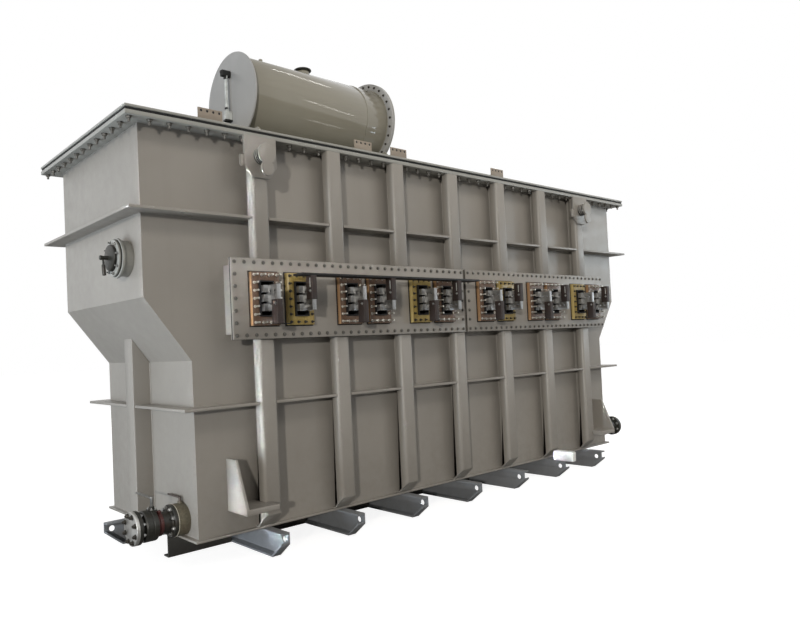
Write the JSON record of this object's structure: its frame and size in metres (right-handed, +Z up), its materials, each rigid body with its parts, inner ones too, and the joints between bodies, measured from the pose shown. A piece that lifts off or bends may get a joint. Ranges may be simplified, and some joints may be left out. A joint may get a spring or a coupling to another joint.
{
  "type": "power transformer",
  "caption": "Oil-filled power transformer in a stepped, ribbed grey tank with an expansion vessel, bolted terminal panels, lifting trunnions and a beam base.",
  "frame": {"origin": "floor level under the middle of the tank, at the middle of the centre cross beam", "axes": "+X along the tank towards the end without the drain valve, +Y away from the terminal panels, +Z up"},
  "size_m": [5.626, 1.909, 3.46],
  "materials": {
    "grey_paint": "semi-gloss light grey enamel, a little dusty",
    "black_rubber": "matt black oil-proof rubber",
    "brown_laminate": "brown pressed laminate",
    "yellow_laminate": "amber glass-fibre laminate",
    "tinned_bar": "tinned conductor bar",
    "dark_boot": "dark moulded insulating boot",
    "black_trim": "matt black plastic",
    "clear_tube": "sight tube with dark end blocks",
    "black_paint": "black valve enamel",
    "grey_casting": "dull grey casting",
    "dark_steel": "dark oiled steel",
    "red_paint": "dark red enamel",
    "bare_steel": "zinc plated steel",
    "pale_plastic": "pale moulded cover",
    "primer_paint": "brownish grey primer"
  },
  "bodies": {
    "tank": {"cross_beams": "grey_paint", "front_skid": "grey_paint", "rear_skid": "grey_paint", "base_plate": "grey_paint", "front_wall": "grey_paint", "rear_wall": "grey_paint", "left_end_wall": "grey_paint", "right_end_wall": "grey_paint", "rim": "grey_paint", "cover_gasket": "black_rubber", "cover": "grey_paint", "front_stiffeners": "grey_paint", "rear_stiffeners": "grey_paint", "end_ribs": "grey_paint", "upper_belt": "grey_paint", "lower_belt": "grey_paint", "panel_collars": "grey_paint", "left_panel": "grey_paint", "right_panel": "grey_paint", "brown_boards": "brown_laminate", "yellow_boards": "yellow_laminate", "terminals": "tinned_bar", "terminal_boots": "dark_boot", "tie_strip": "black_trim", "vessel_shell": "grey_paint", "vessel_left_end": "grey_paint", "vessel_ring": "grey_paint", "vessel_cover": "grey_paint", "vessel_saddles": "grey_paint", "filler_neck": "grey_paint", "filler_cap": "black_trim", "level_gauge": "clear_tube", "cover_lugs": "primer_paint", "trunnions": "grey_paint", "jack_brackets": "grey_paint", "relief_stub": "grey_paint", "relief_valve": "black_paint", "isolating_valve": "grey_casting", "drain_valve": "black_paint", "drain_collar": "red_paint", "drain_blank": "bare_steel", "filter_valve": "black_paint", "earth_block": "pale_plastic"},
    "drain_lever": {"drain_lever": "bare_steel"},
    "isolating_lever": {"isolating_lever": "dark_steel"}
  },
  "joints": [
    {"name": "drain_lever_turn", "type": "hinge", "parent": "tank", "child": "drain_lever", "pos_m": [-2.535, -0.48, 0.387], "axis": [0, 0, 1], "range_deg": [0, 90]},
    {"name": "isolating_lever_turn", "type": "hinge", "parent": "tank", "child": "isolating_lever", "pos_m": [-2.352, -0.48, 0.386], "axis": [0, 0, 1], "range_deg": [0, 90]}
  ]
}
